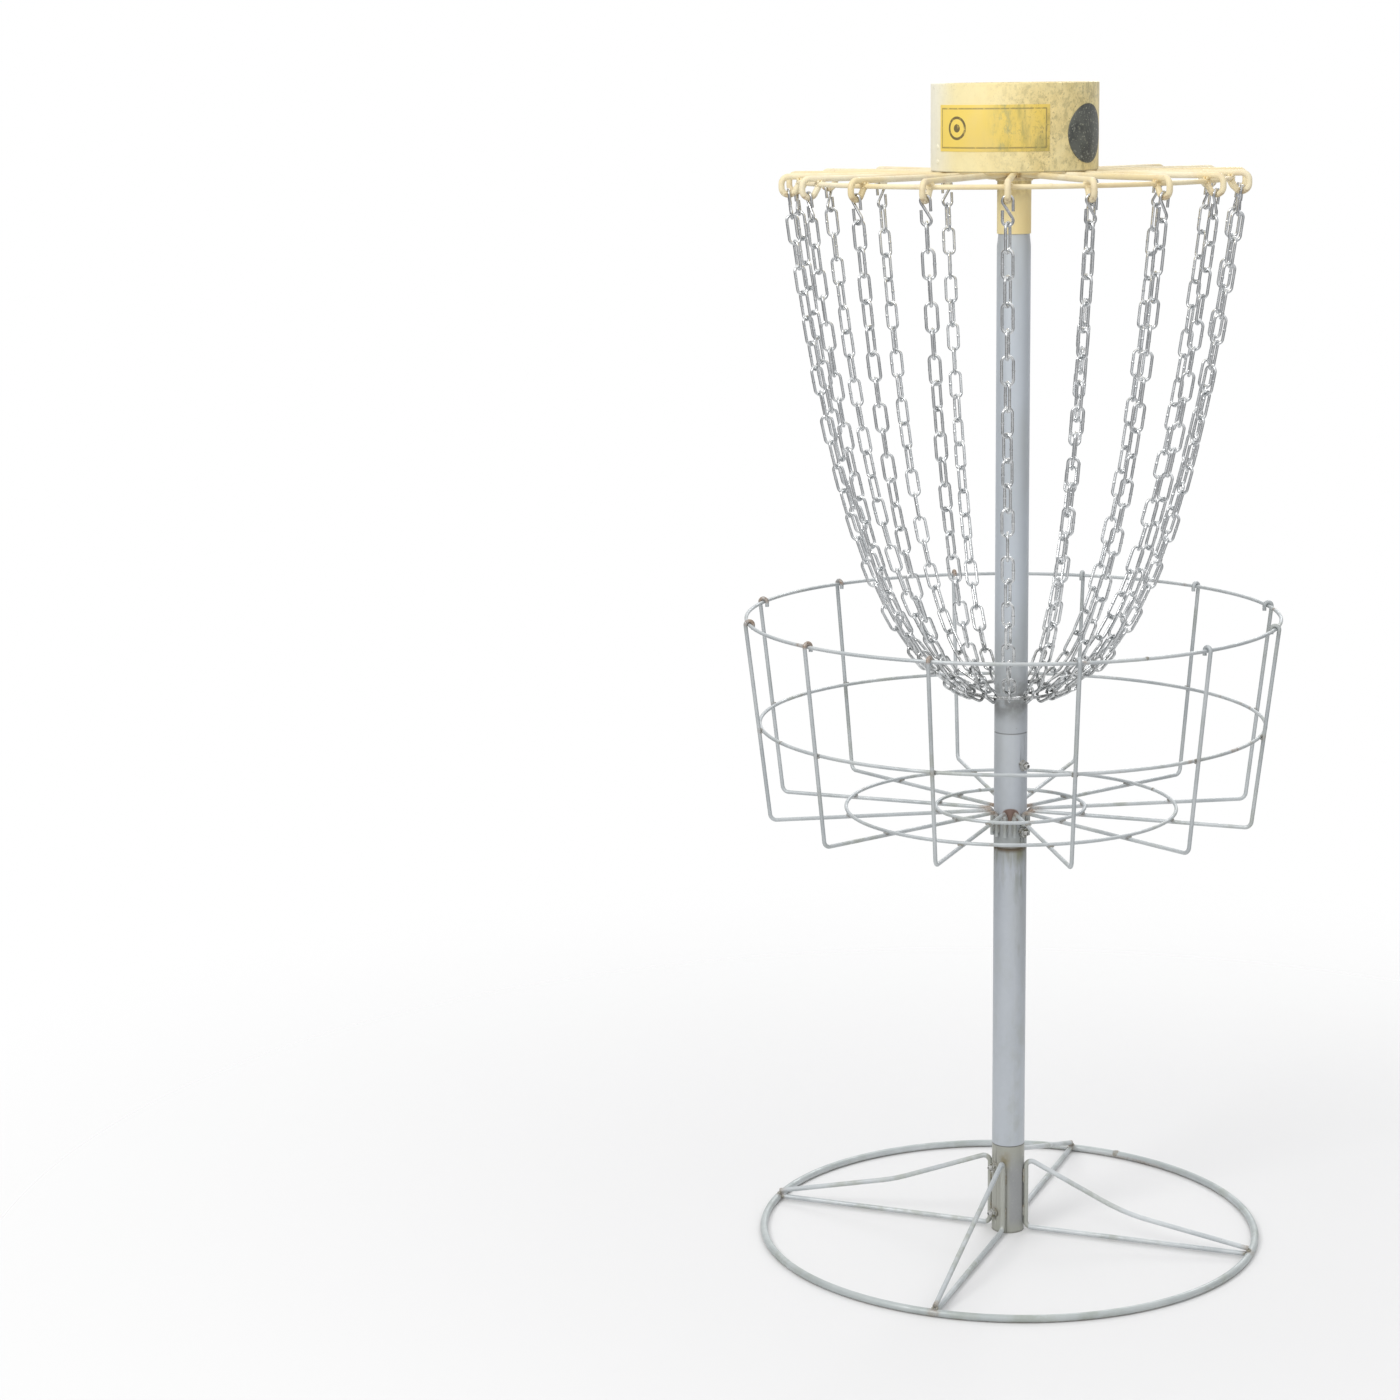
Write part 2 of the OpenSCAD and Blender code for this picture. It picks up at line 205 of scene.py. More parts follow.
class Paint:
    """One material, with short calls for the nodes that its patterns need."""

    def __init__(self, name, metallic=0.0, roughness=0.5):
        self.material = bpy.data.materials.new(name)
        self.material.use_nodes = True
        self.nodes = self.material.node_tree.nodes
        self.links = self.material.node_tree.links
        self.shader = self.nodes["Principled BSDF"]
        self.shader.inputs["Metallic"].default_value = metallic
        self.shader.inputs["Roughness"].default_value = roughness
        self.place = self.new("ShaderNodeTexCoord").outputs["Object"]
        split = self.new("ShaderNodeSeparateXYZ", {"Vector": self.place})
        self.x, self.y, self.z = split.outputs

    def new(self, kind, inputs=None, **settings):
        node = self.nodes.new(kind)
        for key, value in settings.items():
            setattr(node, key, value)
        for key, value in (inputs or {}).items():
            self.feed(node.inputs[key], value)
        return node

    def feed(self, socket, value):
        if isinstance(value, bpy.types.NodeSocket):
            self.links.new(value, socket)
        else:
            socket.default_value = value

    def math(self, operation, a, b=0.0):
        node = self.new("ShaderNodeMath", operation=operation)
        self.feed(node.inputs[0], a)
        self.feed(node.inputs[1], b)
        return node.outputs[0]

    def total(self, *values):
        result = values[0]
        for value in values[1:]:
            result = self.math("MAXIMUM", result, value)
        return result

    def times(self, *values):
        result = values[0]
        for value in values[1:]:
            result = self.math("MULTIPLY", result, value)
        return result

    def radius(self):
        flat = self.new("ShaderNodeCombineXYZ", {"X": self.x, "Y": self.y})
        return self.new("ShaderNodeVectorMath", {0: flat.outputs[0]}, operation="LENGTH").outputs["Value"]

    def azimuth(self):
        back = self.math("MULTIPLY", self.y, -1.0)
        return self.math("DEGREES", self.math("ARCTAN2", self.x, back))

    def noise(self, scale, detail=3.0, roughness=0.5, stretch=(1, 1, 1), shift=0.0):
        place = self.new("ShaderNodeVectorMath", {0: self.place, 1: stretch}, operation="MULTIPLY")
        place = self.new("ShaderNodeVectorMath", {0: place.outputs[0], 1: (shift, shift, shift)},
                         operation="ADD")
        node = self.new("ShaderNodeTexNoise", {"Vector": place.outputs[0], "Scale": scale,
                                               "Detail": detail, "Roughness": roughness})
        return node.outputs["Fac"]

    def cells(self, scale, stretch=(1, 1, 1)):
        place = self.new("ShaderNodeVectorMath", {0: self.place, 1: stretch}, operation="MULTIPLY")
        node = self.new("ShaderNodeTexVoronoi", {"Vector": place.outputs[0], "Scale": scale})
        return self.new("ShaderNodeSeparateColor", {"Color": node.outputs["Color"]}).outputs[0]

    def rise(self, value, low, high, top=1.0):
        """0 below low, top above high, smooth between."""
        node = self.new("ShaderNodeMapRange", {"Value": value, "From Min": low, "From Max": high,
                                               "To Max": top}, interpolation_type="SMOOTHSTEP")
        return node.outputs["Result"]

    def fall(self, value, low, high, top=1.0):
        """top below low, 0 above high, smooth between."""
        node = self.new("ShaderNodeMapRange", {"Value": value, "From Min": low, "From Max": high,
                                               "To Min": top, "To Max": 0.0},
                        interpolation_type="SMOOTHSTEP")
        return node.outputs["Result"]

    def near(self, value, centre, reach, top=1.0):
        """top at the centre, falling to 0 at reach on both sides of it."""
        away = self.math("ABSOLUTE", self.math("SUBTRACT", value, centre))
        return self.fall(away, 0.0, reach, top)

    def blend(self, amount, under, over):
        node = self.new("ShaderNodeMix", data_type="RGBA")
        self.feed(node.inputs[0], amount)
        for socket, colour in ((node.inputs[6], under), (node.inputs[7], over)):
            self.feed(socket, colour if isinstance(colour, bpy.types.NodeSocket) else (*colour, 1.0))
        return node.outputs[2]

    def colour(self, socket):
        self.links.new(socket, self.shader.inputs["Base Color"])

    def gloss(self, socket, least=0.40):
        self.links.new(self.math("MAXIMUM", socket, least), self.shader.inputs["Roughness"])

    def metal(self, socket):
        self.links.new(socket, self.shader.inputs["Metallic"])

    def bump(self, height, distance, strength=1.0):
        node = self.new("ShaderNodeBump", {"Height": height, "Distance": distance,
                                           "Strength": strength})
        self.links.new(node.outputs[0], self.shader.inputs["Normal"])


RUST = (0.150, 0.070, 0.034)
RUST_PALE = (0.330, 0.215, 0.130)
GRIME = (0.120, 0.112, 0.096)
ALGAE = (0.300, 0.315, 0.220)
SLEEVE_PALE = (0.400, 0.407, 0.358)


def galvanised_tube():
    """Dull zinc with faint spangle, run marks, dark seams, and grime where the chains rub."""
    p = Paint("galvanised_tube", 0.35, 0.5)
    clouds = p.noise(7, 3, 0.55, (1, 1, 0.4))
    runs = p.noise(70, 4, 0.6, (1, 1, 0.035))
    spangle = p.cells(210, (1, 1, 0.8))
    fine = p.noise(420, 2, 0.5)
    colour = p.blend(p.rise(clouds, 0.35, 0.68), (0.495, 0.530, 0.572), (0.570, 0.605, 0.645))
    colour = p.blend(p.times(spangle, 0.12), colour, (0.660, 0.690, 0.730))
    colour = p.blend(p.rise(runs, 0.55, 0.78, 0.35), colour, (0.670, 0.690, 0.710))
    colour = p.blend(p.fall(runs, 0.22, 0.42, 0.30), colour, (0.360, 0.375, 0.370))
    # Painted highlight: the upper pole made lighter and bluer above the hub sleeve.
    colour = p.blend(p.rise(p.z, HUB_HIGH, HUB_HIGH + 0.20, 0.60), colour, (0.690, 0.750, 0.810))
    colour = p.blend(p.fall(p.z, HUB_LOW - 0.22, HUB_LOW, 0.22), colour, (0.420, 0.450, 0.470))
    stain = p.noise(38, 4, 0.65, (1, 1, 0.5), 3.0)
    olive = p.rise(p.noise(16, 3, 0.55, (1, 1, 0.3), 6.0), 0.46, 0.74, 0.28)
    colour = p.blend(olive, colour, (0.420, 0.430, 0.370))
    chain_rub = p.times(p.near(p.z, COLLECTOR.height - 0.008, 0.040),
                        p.rise(p.noise(45, 4, 0.6), 0.30, 0.66))
    colour = p.blend(p.times(chain_rub, 0.80), colour, GRIME)
    floor = INNER_FLOOR.height - INNER_FLOOR.rod
    full_tube = p.rise(p.radius(), TUBE_R - 0.0012, TUBE_R - 0.0006)
    # Painted shade, with some dirt: the hub sleeve made darker below the basket floor.
    under = p.times(p.fall(p.z, floor - 0.014, floor), p.rise(p.z, HUB_LOW - 0.030, HUB_LOW),
                    full_tube, 0.55)
    colour = p.blend(under, colour, (0.270, 0.280, 0.240))
    drips = p.times(p.fall(p.z, HUB_LOW, HUB_LOW + 0.004),
                    p.rise(p.z, HUB_LOW - 0.075, HUB_LOW - 0.002),
                    p.rise(p.noise(95, 4, 0.65, (1, 1, 0.12), 4.0), 0.44, 0.66), 0.75)
    colour = p.blend(drips, colour, (0.235, 0.230, 0.165))
    right = p.near(p.azimuth(), 38.0, 34.0)
    right_stain = p.times(right, p.near(p.z, HUB_LOW - 0.004, 0.020), p.rise(stain, 0.25, 0.50), 0.80)
    colour = p.blend(right_stain, colour, (0.240, 0.240, 0.150))
    trickle = p.times(right, p.fall(p.z, HUB_LOW - 0.010, HUB_LOW),
                      p.rise(p.z, HUB_LOW - 0.190, HUB_LOW - 0.110),
                      p.rise(p.noise(60, 3, 0.6, (1, 1, 0.22), 21.0), 0.50, 0.66), 0.60)
    colour = p.blend(trickle, colour, (0.290, 0.310, 0.275))
    # Brown crust along the hub sleeve's lower edge, with a painted shadow line under that edge.
    crust_and_shadow_line = p.times(p.near(p.z, HUB_LOW - 0.0010, 0.0060), p.rise(stain, 0.36, 0.50), 0.95)
    colour = p.blend(crust_and_shadow_line, colour, (0.125, 0.092, 0.055))
    lines = p.total(p.near(p.z, HUB_HIGH, 0.0016), p.near(p.z, FOOT_SEAM, 0.0014),
                    p.near(p.z, TOP_SEAM, 0.0012))
    colour = p.blend(p.times(lines, 0.45), colour, (0.170, 0.170, 0.150))
    patch = p.times(p.near(p.azimuth(), 1.0, 48.0), p.near(p.z, floor - 0.007, 0.015))
    patch = p.times(p.rise(patch, 0.20, 0.36), p.rise(stain, 0.12, 0.28), full_tube, 0.90)
    colour = p.blend(patch, colour, (0.205, 0.118, 0.085))
    low_green = p.times(p.fall(p.z, 0.20, 0.52), p.rise(stain, 0.48, 0.75), 0.25)
    colour = p.blend(low_green, colour, ALGAE)
    specks = p.rise(p.noise(90, 3, 0.6, (1, 1, 0.7), 9.0), 0.765, 0.79, 0.5)
    colour = p.blend(specks, colour, GRIME)
    p.colour(colour)
    p.gloss(p.rise(clouds, 0.2, 0.9, 0.62), 0.46)
    p.bump(fine, 0.00004, 0.3)
    return p.material


def galvanised_rod(name, rust_at, green=0.5):
    """Zinc-coated rod; rust_at gives the places where brown bleeds from welds and bends."""
    p = Paint(name, 0.3, 0.5)
    clouds = p.noise(14, 3, 0.55)
    fine = p.noise(380, 3, 0.55)
    patches = p.noise(60, 4, 0.6, (1, 1, 1), 5.0)
    colour = p.blend(p.rise(clouds, 0.34, 0.66), (0.470, 0.502, 0.515), (0.580, 0.610, 0.620))
    colour = p.blend(p.rise(fine, 0.5, 0.8, 0.35), colour, (0.680, 0.695, 0.690))
    mossy = p.times(p.rise(p.noise(9, 3, 0.6, (1, 1, 1), 11.0), 0.48, 0.66),
                    p.rise(patches, 0.35, 0.6), green)
    colour = p.blend(mossy, colour, ALGAE)
    on_sleeve = p.times(p.fall(p.radius(), 0.0275, 0.0300), p.fall(p.z, 0.14, 0.15))
    colour = p.blend(p.times(on_sleeve, 0.85), colour, SLEEVE_PALE)
    on_foot_ring = p.times(p.rise(p.radius(), FOOT.radius - 0.0055, FOOT.radius - 0.0035),
                           p.fall(p.z, 0.02, 0.03))
    colour = p.blend(p.times(on_foot_ring, 0.40), colour, (0.315, 0.360, 0.340))
    on_tail = p.times(p.fall(p.radius(), TUBE_R + 0.0055, TUBE_R + 0.0075),
                      p.near(p.z, HUB_LOW + 0.030, 0.022))
    colour = p.blend(p.times(on_tail, 0.75), colour, (0.290, 0.300, 0.260))
    rust = rust_at(p)
    colour = p.blend(p.times(rust, p.rise(patches, 0.30, 0.58), 0.75), colour, RUST_PALE)
    colour = p.blend(p.times(rust, p.rise(fine, 0.50, 0.66), 0.70), colour, RUST)
    colour = p.blend(p.rise(p.noise(170, 3, 0.6, (1, 1, 1), 2.0), 0.73, 0.79, 0.5), colour, RUST_PALE)
    p.colour(colour)
    p.gloss(p.rise(p.math("ADD", patches, p.times(fine, 0.4)), 0.1, 1.1, 0.75))
    p.bump(fine, 0.00015, 0.5)
    return p.material


def rib_rust(p):
    """Brown hooks over the left of the rim, and a little at the crossings and the hub."""
    radius = p.radius()
    hooks = p.times(p.rise(p.z, RIM.height - 0.003, RIM.height + 0.002), p.fall(p.x, -0.08, 0.06))
    crossings = p.total(p.near(radius, OUTER_FLOOR.radius, 0.006, 0.25),
                        p.near(radius, INNER_FLOOR.radius, 0.007, 0.35),
                        p.near(p.z, SIDE.height, 0.006, 0.25))
    floor = INNER_FLOOR.height - INNER_FLOOR.rod
    hub = p.times(p.fall(radius, TUBE_R + 0.008, TUBE_R + 0.026),
                  p.rise(p.z, floor - 0.010, floor - 0.002), 0.9)
    return p.total(hooks, crossings, hub)


def foot_rust(p):
    """A little where the legs meet the foot ring, and a patch on the ring's back right."""
    legs = p.total(*[p.near(p.azimuth(), az if az < 180 else az - 360, 2.2) for az in LEGS])
    joints = p.times(p.rise(p.radius(), FOOT.radius - 0.014, FOOT.radius - 0.002), legs, 0.55)
    patch = p.times(p.near(p.azimuth(), 146.0, 18.0, 0.5), p.fall(p.z, 0.003, 0.007),
                    p.rise(p.radius(), 0.30, 0.31))
    return p.total(joints, patch, p.times(p.fall(p.z, 0.0008, 0.003), 0.4))


def floor_rust(p):
    return p.rise(p.noise(30, 3, 0.6, (1, 1, 1), 7.0), 0.60, 0.72, 0.6)


def foot_sleeve():
    """Older zinc on the foot's sleeve: olive-grey in front, bluer and with painted shade to the right,
    brown by the nuts, with painted shadow lines beside two legs.
    """
    p = Paint("foot_sleeve", 0.25, 0.55)
    clouds = p.noise(20, 3, 0.55, (1, 1, 0.35))
    fine = p.noise(330, 3, 0.55)
    colour = p.blend(p.rise(clouds, 0.28, 0.70), (0.340, 0.343, 0.305), SLEEVE_PALE)
    # Bluer zinc with painted shade: the right side of the sleeve, away from the light, made darker.
    bluer_shaded_right = p.times(p.rise(p.azimuth(), -10.0, 14.0), p.fall(p.z, 0.080, 0.116), p.rise(p.z, 0.0, 0.022))
    colour = p.blend(p.times(bluer_shaded_right, 0.8), colour, (0.298, 0.306, 0.318))
    colour = p.blend(p.rise(fine, 0.52, 0.8, 0.25), colour, (0.480, 0.485, 0.465))
    blotch = p.times(p.near(p.azimuth(), -14.0, 34.0), p.near(p.z, 0.100, 0.018),
                     p.rise(p.noise(70, 4, 0.6, (1, 1, 0.6), 4.0), 0.30, 0.56), 0.90)
    colour = p.blend(blotch, colour, (0.250, 0.215, 0.130))
    nuts = p.times(p.near(p.azimuth(), BASE_BOLT_AZIMUTH, 34.0),
                   p.total(*[p.near(p.z, z, 0.013) for z in BASE_NUT_HEIGHTS]),
                   p.rise(p.noise(90, 4, 0.65, (1, 1, 1), 4.0), 0.38, 0.62), 0.65)
    colour = p.blend(nuts, colour, (0.260, 0.170, 0.095))
    # Painted shadow: dark lines beside the right and front legs' runs on the sleeve, joined below with the
    # dark foot seam and bottom edge.
    right_leg_shadow = p.times(p.near(p.azimuth(), LEGS[1] - 11.0, 3.4), p.rise(p.z, 0.034, 0.038),
                   p.fall(p.z, 0.080, 0.085))
    front_leg_shadow = p.times(p.near(p.azimuth(), LEGS[0] + 12.0, 3.0), p.fall(p.z, 0.084, 0.092), 0.55)
    seam_lines_and_leg_shadows = p.total(p.near(p.z, FOOT_SEAM, 0.0014, 0.45), right_leg_shadow, front_leg_shadow, p.near(p.z, 0.0, 0.0035, 0.5))
    colour = p.blend(seam_lines_and_leg_shadows, colour, (0.085, 0.082, 0.072))
    p.colour(colour)
    p.gloss(p.rise(clouds, 0.1, 1.1, 0.8))
    p.bump(fine, 0.00015, 0.5)
    return p.material


def set_hardware(name, rusty):
    """Zinc-plated steel going olive-brown."""
    p = Paint(name, 0.7, 0.4)
    patches = p.noise(230, 4, 0.6)
    fine = p.noise(900, 2, 0.5)
    colour = p.blend(p.rise(fine, 0.3, 0.7), (0.470, 0.470, 0.455), (0.680, 0.680, 0.665))
    brown = p.rise(patches, 0.62 - rusty * 0.3, 0.78 - rusty * 0.25)
    colour = p.blend(brown, colour, (0.115, 0.110, 0.055))
    p.colour(colour)
    p.metal(p.fall(patches, 0.5 - rusty * 0.2, 0.7, 0.9))
    p.gloss(p.rise(patches, 0.0, 1.0, 0.75))
    p.bump(p.math("ADD", patches, fine), 0.00015, 0.7)
    return p.material


CREAM = (0.880, 0.735, 0.430)
CREAM_PALE = (0.935, 0.850, 0.620)
MILDEW = (0.235, 0.180, 0.080)


def mildew(p, heavy_side):
    """Dark specks that gather in patches: 0 to 1."""
    patches = p.noise(22, 4, 0.65, (1, 1, 1), 6.0)
    specks = p.noise(380, 4, 0.7, (1, 1, 0.8), 1.0)
    drift = p.noise(95, 4, 0.7, (1, 1, 0.5), 8.0)
    amount = p.times(heavy_side, p.rise(patches, 0.30, 0.66))
    return p.total(p.times(amount, p.rise(specks, 0.54, 0.66)),
                   p.times(amount, p.rise(drift, 0.52, 0.72), 0.6))


def cream_paint():
    """Faded yellow coating on the top's rods, sleeve and plate, chipped to rust at the eyes."""
    p = Paint("cream_paint", 0.0, 0.5)
    clouds = p.noise(10, 3, 0.55)
    fine = p.noise(420, 3, 0.5)
    colour = p.blend(p.rise(clouds, 0.34, 0.66), CREAM, CREAM_PALE)
    dust = p.rise(p.noise(34, 4, 0.6, (1, 1, 1), 15.0), 0.46, 0.74, 0.35)
    colour = p.blend(dust, colour, (0.700, 0.520, 0.360))
    sleeve = p.times(p.fall(p.radius(), 0.0225, 0.0260), p.fall(p.z, TOP_HIGH - 0.002, TOP_HIGH))
    colour = p.blend(p.times(sleeve, 0.9), colour, p.blend(p.rise(clouds, 0.3, 0.7), (1.000, 0.800, 0.370),
                                                           (1.000, 0.890, 0.520)))
    upper = p.rise(p.z, ARM_Z - 0.001, ARM_Z + 0.004)
    side = p.rise(p.x, -0.06, 0.20, 0.75)
    mildewed = mildew(p, p.total(p.times(upper, 0.5), p.times(upper, side)))
    colour = p.blend(p.times(mildewed, 0.55), colour, MILDEW)
    eye_wear = p.times(p.rise(p.radius(), 0.268, 0.274), p.fall(p.z, ARM_Z - 0.022, ARM_Z - 0.016))
    eye_wear = p.times(eye_wear, p.rise(p.noise(210, 3, 0.6), 0.42, 0.6), 0.7)
    colour = p.blend(eye_wear, colour, (0.430, 0.290, 0.150))
    neck = p.times(p.rise(p.z, TOP_HIGH - 0.034, TOP_HIGH), p.fall(p.radius(), 0.03, 0.05),
                   p.rise(p.noise(80, 4, 0.6), 0.36, 0.66), 0.6)
    colour = p.blend(neck, colour, (0.400, 0.270, 0.110))
    chips = p.rise(p.noise(150, 3, 0.6, (1, 1, 1), 12.0), 0.735, 0.760, 0.8)
    colour = p.blend(chips, colour, (0.250, 0.150, 0.080))
    p.colour(colour)
    p.gloss(p.rise(clouds, -0.6, 1.0, 0.66))
    p.bump(fine, 0.00012, 0.5)
    return p.material


def band_plastic():
    """Yellow band, painted paler on the left where the light falls, stained and speckled towards the right
    and the top.
    """
    p = Paint("band_plastic", 0.0, 0.45)
    clouds = p.noise(16, 3, 0.55)
    fine = p.noise(520, 3, 0.5)
    colour = p.blend(p.rise(clouds, 0.30, 0.70), (0.965, 0.785, 0.370), (0.985, 0.860, 0.480))
    # Painted light: the band made paler towards its left, the side the light falls on.
    colour = p.blend(p.fall(p.x, -0.090, -0.020, 0.55), colour, (0.995, 0.910, 0.560))
    colour = p.blend(p.fall(p.x, -0.100, -0.068, 0.95), colour, (1.000, 0.965, 0.790))
    right = p.rise(p.x, -0.065, 0.050)
    back = p.rise(p.y, 0.0, 0.08, 0.8)
    weathered = p.total(right, back, 0.10)
    lip = p.total(p.near(p.z, BAND_HIGH, 0.026, 0.9), p.near(p.z, BAND_LOW, 0.010, 0.6))
    blotches = p.noise(46, 5, 0.68, (1, 1, 0.8), 13.0)
    colour = p.blend(p.times(weathered, p.rise(blotches, 0.36, 0.66), 0.58), colour, (0.680, 0.555, 0.240))
    colour = p.blend(p.times(weathered, p.rise(p.noise(130, 5, 0.7, (1, 1, 0.8), 17.0), 0.48, 0.62), 0.45),
                     colour, (0.400, 0.350, 0.170))
    mildewed = mildew(p, p.total(weathered, p.times(lip, p.total(right, 0.45))))
    colour = p.blend(p.times(mildewed, 0.85), colour, MILDEW)
    runs = p.rise(p.noise(120, 4, 0.6, (1, 1, 0.06), 2.0), 0.56, 0.74)
    colour = p.blend(p.times(runs, weathered, 0.22), colour, (0.440, 0.385, 0.190))
    colour = p.blend(p.near(p.z, BAND_LOW, 0.0022, 0.7), colour, (0.290, 0.240, 0.140))
    p.colour(colour)
    p.gloss(p.rise(p.math("ADD", clouds, p.times(fine, 0.4)), 0.0, 1.6, 0.75))
    p.bump(p.math("ADD", p.times(fine, 0.5), p.times(clouds, 1.5)), 0.0003, 0.5)
    return p.material


LABEL_WEST, LABEL_EAST = -60, 24
BORDER_INSET = 0.0045
BORDER_LINE = 0.0015


def label_film():
    """Blank yellow panel with one thin border line and a plain ring-and-dot target."""
    p = Paint("label_film", 0.0, 0.35)
    clouds = p.noise(18, 3, 0.6, (1, 1, 0.5), 3.0)
    # Painted shade: the yellow made darker towards the right, away from the light.
    colour = p.blend(p.rise(p.x, -0.09, 0.03), (0.975, 0.735, 0.160), (0.850, 0.625, 0.120))
    colour = p.blend(p.rise(clouds, 0.35, 0.7, 0.5), colour, (0.860, 0.680, 0.290))
    run = p.math("MULTIPLY", p.azimuth(), math.radians(BAND_R))
    west, east = (math.radians(a) * BAND_R for a in (LABEL_WEST, LABEL_EAST))
    middle = (LABEL_LOW + LABEL_HIGH) / 2
    half_high = (LABEL_HIGH - LABEL_LOW) / 2 - BORDER_INSET
    half_wide = (east - west) / 2 - BORDER_INSET
    across = p.math("SUBTRACT", p.math("ABSOLUTE", p.math("SUBTRACT", run, (west + east) / 2)), half_wide)
    upright = p.math("SUBTRACT", p.math("ABSOLUTE", p.math("SUBTRACT", p.z, middle)), half_high)
    edge = p.near(p.total(across, upright), 0.0, BORDER_LINE)
    spot = p.new("ShaderNodeCombineXYZ", {"X": p.math("SUBTRACT", run, west + 0.032),
                                          "Y": p.math("SUBTRACT", p.z, middle)})
    away = p.new("ShaderNodeVectorMath", {0: spot.outputs[0]}, operation="LENGTH").outputs["Value"]
    target = p.total(p.near(away, 0.0125, 0.0024), p.fall(away, 0.0045, 0.0052))
    worn = p.rise(p.noise(160, 4, 0.65), 0.25, 0.5)
    print_ink = p.times(p.total(p.times(edge, 0.8), p.rise(target, 0.15, 0.4)), worn, 0.85)
    colour = p.blend(print_ink, colour, (0.060, 0.055, 0.050))
    stain = p.times(p.rise(p.x, -0.045, 0.01), p.rise(p.noise(70, 4, 0.65, (1, 1, 0.25), 5.0), 0.42, 0.66))
    colour = p.blend(p.times(stain, 0.55), colour, (0.300, 0.290, 0.110))
    patch = p.times(p.near(run, -0.012, 0.024),
                    p.rise(p.noise(140, 4, 0.7, (1, 1, 0.5), 6.5), 0.46, 0.66), 0.45)
    colour = p.blend(patch, colour, (0.250, 0.330, 0.230))
    colour = p.blend(p.times(mildew(p, p.rise(p.x, -0.04, 0.03)), 0.7), colour, MILDEW)
    p.colour(colour)
    p.gloss(p.rise(clouds, -0.2, 1.2, 0.65))
    p.bump(p.noise(300, 3, 0.5), 0.0001, 0.5)
    return p.material


def disc_film():
    """Charcoal film with pale flecks and paler blots."""
    p = Paint("disc_film", 0.0, 0.5)
    clouds = p.noise(45, 4, 0.6)
    colour = p.blend(p.rise(clouds, 0.3, 0.7), (0.062, 0.066, 0.060), (0.140, 0.148, 0.128))
    colour = p.blend(p.rise(p.noise(330, 4, 0.65), 0.58, 0.66, 0.8), colour, (0.460, 0.460, 0.380))
    blots = p.rise(p.noise(110, 4, 0.65, (1, 1, 1), 3.0), 0.58, 0.70, 0.6)
    colour = p.blend(blots, colour, (0.330, 0.330, 0.250))
    p.colour(colour)
    p.gloss(p.rise(clouds, -0.4, 1.2, 0.8))
    p.bump(p.noise(500, 3, 0.5), 0.00015, 0.6)
    return p.material


def zinc(name, light, dark, gloss):
    """Bright zinc plate: patchy sheen, dark in the pores."""
    p = Paint(name, 1.0, gloss)
    clouds = p.noise(60, 3, 0.55)
    fine = p.noise(700, 3, 0.6)
    colour = p.blend(p.rise(clouds, 0.30, 0.70), dark, light)
    colour = p.blend(p.fall(fine, 0.30, 0.44, 0.55), colour, (0.180, 0.180, 0.175))
    colour = p.blend(p.rise(p.noise(230, 3, 0.6, (1, 1, 1), 4.0), 0.72, 0.78, 0.6), colour, RUST_PALE)
    gathered = p.times(p.fall(p.z, COLLECTOR.height + 0.010, COLLECTOR.height + 0.130),
                       p.rise(p.noise(110, 4, 0.65, (1, 1, 1), 8.0), 0.36, 0.60), 0.65)
    colour = p.blend(gathered, colour, (0.170, 0.175, 0.165))
    p.colour(colour)
    p.gloss(p.rise(p.math("ADD", clouds, p.times(fine, 0.5)), -0.5, 1.6, gloss * 1.4), gloss * 0.6)
    p.bump(p.math("ADD", fine, clouds), 0.00006, 0.4)
    return p.material


def weld_metal(name, colour_a, colour_b):
    """Lumpy weld metal under its coating."""
    p = Paint(name, 0.2, 0.6)
    patches = p.noise(240, 4, 0.6)
    p.colour(p.blend(p.rise(patches, 0.35, 0.65), colour_a, colour_b))
    p.gloss(p.rise(patches, -0.5, 1.0, 0.75))
    p.bump(p.noise(900, 3, 0.6), 0.0003, 0.8)
    return p.material


# ---------------------------------------------------------------- mesh pieces


def add_mesh(name, parts, material, body):
    """One object from (vertices, faces) parts, riding on a body."""
    vertices, faces = [], []
    for part_vertices, part_faces in parts:
        offset = len(vertices)
        vertices.extend(part_vertices)
        faces.extend([tuple(i + offset for i in face) for face in part_faces])
    mesh = bpy.data.meshes.new(name)
    mesh.from_pydata([tuple(v) for v in vertices], [], faces)
    mesh.validate()
    mesh.shade_smooth()
    mesh.set_sharp_from_angle(angle=math.radians(38))
    mesh.materials.append(material)
    piece = bpy.data.objects.new(name, mesh)
    bpy.context.scene.collection.objects.link(piece)
    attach(piece, body)
    return piece


def sweep(points, radii, sides=10, flatten=1.0, up=None):
    """Closed tube through points; flatten squashes it along up."""
    points = [Vector(q) for q in points]
    vertices, faces = [], []
    for i, point in enumerate(points):
        ahead = points[min(i + 1, len(points) - 1)] - points[max(i - 1, 0)]
        ahead.normalize()
        guide = up if up is not None else (Vector((0, 0, 1)) if abs(ahead.z) < 0.9 else Vector((1, 0, 0)))
        side = ahead.cross(guide).normalized()
        over = side.cross(ahead).normalized()
        for k in range(sides):
            turn = 2 * math.pi * k / sides
            vertices.append(point + side * (radii[i] * math.cos(turn))
                            + over * (radii[i] * flatten * math.sin(turn)))
    for i in range(len(points) - 1):
        for k in range(sides):
            after = (k + 1) % sides
            faces.append((i * sides + k, i * sides + after,
                          (i + 1) * sides + after, (i + 1) * sides + k))
    last = (len(points) - 1) * sides
    faces.append(tuple(reversed(range(sides))))
    faces.append(tuple(range(last, last + sides)))
    return vertices, faces


